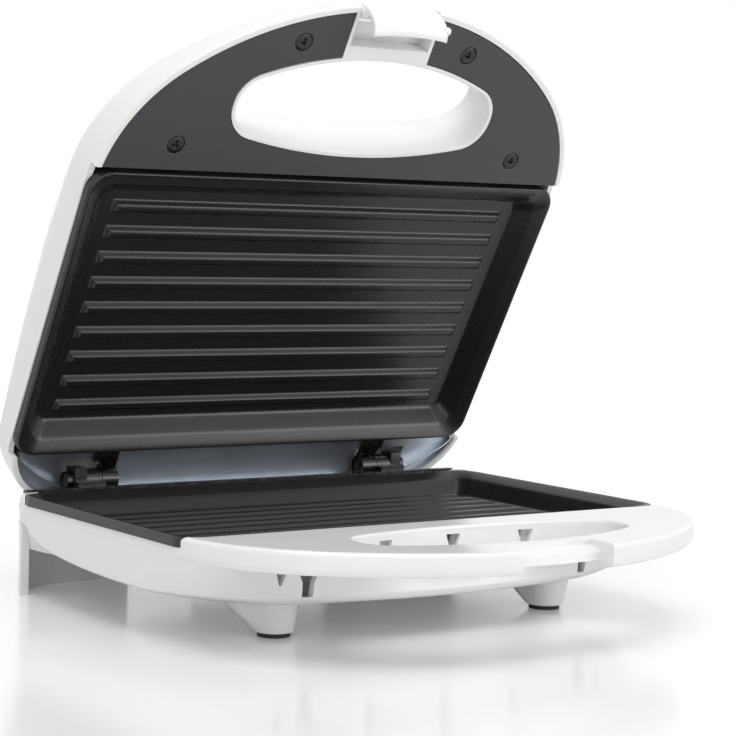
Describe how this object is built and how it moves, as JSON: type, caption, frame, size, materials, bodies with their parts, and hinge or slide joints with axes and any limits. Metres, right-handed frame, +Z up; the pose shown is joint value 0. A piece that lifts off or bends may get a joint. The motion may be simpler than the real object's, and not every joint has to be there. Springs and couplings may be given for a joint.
{
  "type": "sandwich toaster",
  "caption": "Countertop sandwich toaster with ribbed non-stick plates in white shells, a hinged lid held open by friction, a curved hand hole and a swinging latch.",
  "frame": {"origin": "on the surface that the toaster stands on, under the middle of its outline with the lid open", "axes": "+X along the hinge, +Y to the back, +Z up"},
  "size_m": [0.2212, 0.229, 0.2311],
  "materials": {
    "white_shell": "gloss",
    "white_latch": "gloss",
    "nonstick": "satin non-stick coating",
    "heater_steel": "dull",
    "reflector": "bright rolled",
    "screw_steel": "satin",
    "screw_black": "blackened",
    "pin_steel": "blackened steel",
    "ceramic": "matt",
    "black_rubber": "matt",
    "black_plastic": "satin",
    "liner": "fine satin",
    "red_lens": "clear tinted",
    "green_lens": "clear tinted"
  },
  "bodies": {
    "base": {"base_shell": "white_shell", "handle_bar": "white_shell", "cord_housing": "white_shell", "rear_leg_left": "white_shell", "rear_leg_right": "white_shell", "front_foot_left": "white_shell", "front_foot_right": "white_shell", "base_plate": "nonstick", "base_heater": "heater_steel", "base_reflector": "reflector", "base_screws": "screw_steel", "thermostat": "ceramic", "thermal_fuse": "ceramic", "terminal_block": "ceramic", "cord_gland": "black_rubber", "hinge_rail": "black_plastic", "rail_screws": "screw_steel", "hinge_bracket_left": "black_plastic", "hinge_bracket_right": "black_plastic", "hinge_bracket_screws": "screw_steel", "hinge_pin_left": "pin_steel", "hinge_pin_right": "pin_steel", "front_pad_left": "black_rubber", "front_pad_right": "black_rubber"},
    "lid": {"lid_shell": "white_shell", "handle_liner": "liner", "liner_screws": "screw_black", "lid_plate": "nonstick", "lid_heater": "heater_steel", "lid_reflector": "reflector", "lid_plate_screws": "screw_steel", "hinge_arm_left": "black_plastic", "hinge_arm_right": "black_plastic", "hinge_arm_screws": "screw_black", "power_lens": "red_lens", "ready_lens": "green_lens", "lamp_carrier": "ceramic", "latch_pin": "screw_steel"},
    "latch": {"latch": "white_latch"}
  },
  "joints": [
    {"name": "lid_hinge", "type": "hinge", "parent": "base", "child": "lid", "pos_m": [0, 0.09931, 0.0422], "axis": [-1, 0, 0], "range_deg": [-60.7, 37.3]},
    {"name": "latch_hinge", "type": "hinge", "parent": "lid", "child": "latch", "pos_m": [0, -0.00402, 0.22755], "axis": [-1, 0, 0], "range_deg": [-12, 20]}
  ]
}
